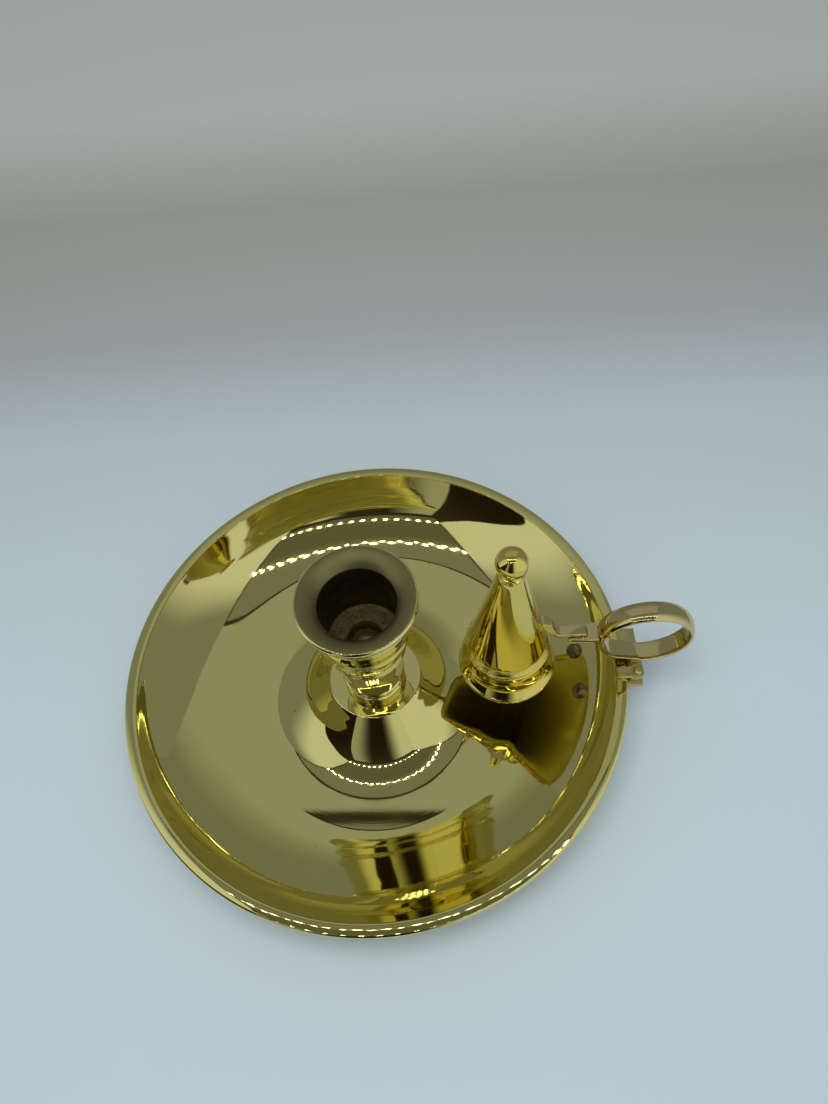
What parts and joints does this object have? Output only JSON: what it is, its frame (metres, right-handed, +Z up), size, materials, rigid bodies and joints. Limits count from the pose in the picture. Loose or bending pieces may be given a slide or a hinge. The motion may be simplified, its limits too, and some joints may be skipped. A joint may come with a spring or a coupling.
{
  "type": "chamber candlestick",
  "caption": "Round saucer candlestick with a raised boss, turned candle socket, finger ring at the rim and a lift-off cone snuffer.",
  "frame": {"origin": "centre of the bounding box at table height", "axes": "+X from the pan's axis towards the finger ring, +Z up"},
  "size_m": [0.174, 0.156, 0.0824],
  "materials": {
    "polished_brass": "mirror-polished yellow brass",
    "bright_bolt": "bright turned brass",
    "washer_steel": "plain steel",
    "nut_steel": "plain steel",
    "ring_brass": "polished strip brass",
    "satin_brass": "satin sheet brass",
    "foot_rivet_brass": "satin brass",
    "dark_rivet_brass": "dark tarnished brass",
    "snuffer_brass": "polished deep yellow brass"
  },
  "bodies": {
    "base": {"drip_pan": "polished_brass", "candle_socket": "polished_brass", "centre_bolt": "bright_bolt", "base_washer": "washer_steel", "base_nut": "nut_steel", "finger_ring": "ring_brass", "snuffer_fork": "ring_brass", "handle_foot": "satin_brass", "bracket_strap": "satin_brass", "foot_rivet": "foot_rivet_brass", "wall_rivet_near": "dark_rivet_brass", "wall_rivet_far": "dark_rivet_brass"},
    "snuffer": {"snuffer_cone": "snuffer_brass", "snuffer_finial": "snuffer_brass", "snuffer_tongue": "ring_brass"}
  },
  "joints": [
    {"name": "snuffer_lift", "type": "slide", "parent": "base", "child": "snuffer", "axis": [0, 0, 1], "range_m": [0, 0.04]}
  ]
}
